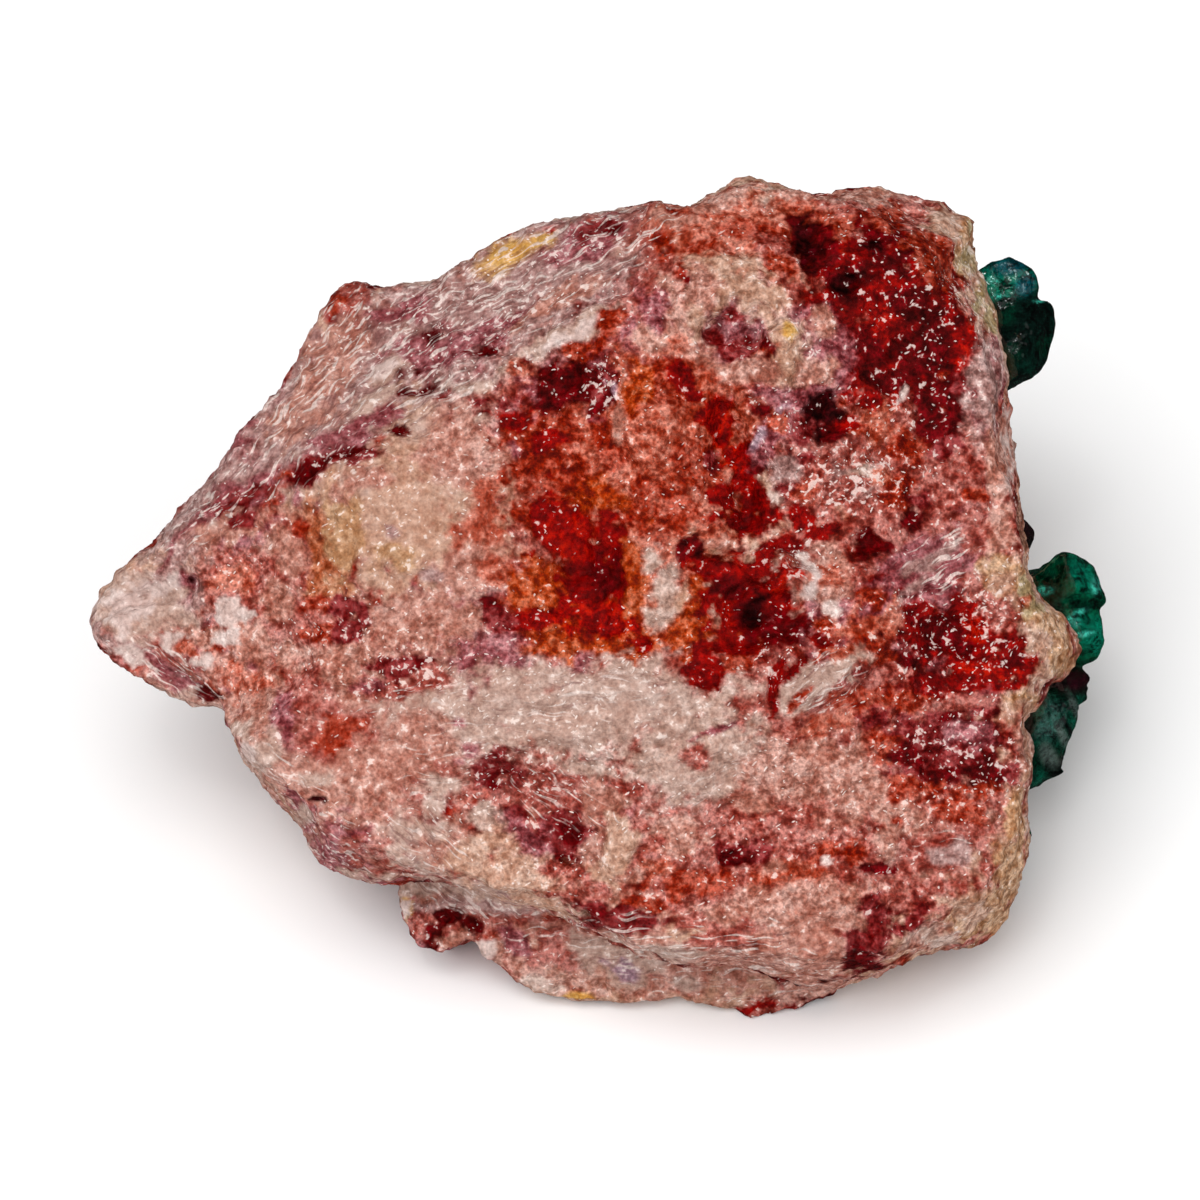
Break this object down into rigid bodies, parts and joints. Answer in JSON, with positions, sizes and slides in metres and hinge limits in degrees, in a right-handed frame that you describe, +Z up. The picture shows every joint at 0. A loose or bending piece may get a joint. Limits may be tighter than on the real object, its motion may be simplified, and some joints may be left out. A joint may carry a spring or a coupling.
{
  "type": "dioptase mineral specimen",
  "caption": "Hand specimen of iron-stained quartz rock lying on its broken underside, with groups of emerald-green dioptase crystals on the crust of one side.",
  "frame": {"origin": "on the surface that the specimen lies on, under the middle of its bounding box", "axes": "+Z up; +X towards the crust that carries the crystals; -Y towards the side from which the broad weathered face is seen, leaning back at 50 degrees from the horizontal"},
  "size_m": [0.0524, 0.0406, 0.0314],
  "materials": {
    "rock": "rough sugary broken stone, stained red, pink and cream by iron",
    "dioptase": "clear deep green crystal with glassy faces"
  },
  "bodies": {
    "root": {"matrix_rock": "rock", "upper_crystals": "dioptase", "rim_crystal": "dioptase", "lower_crystals": "dioptase", "back_crystals": "dioptase", "low_back_crystals": "dioptase", "upper_back_crystals": "dioptase", "low_side_crystals": "dioptase", "foot_crystal": "dioptase"}
  },
  "joints": []
}
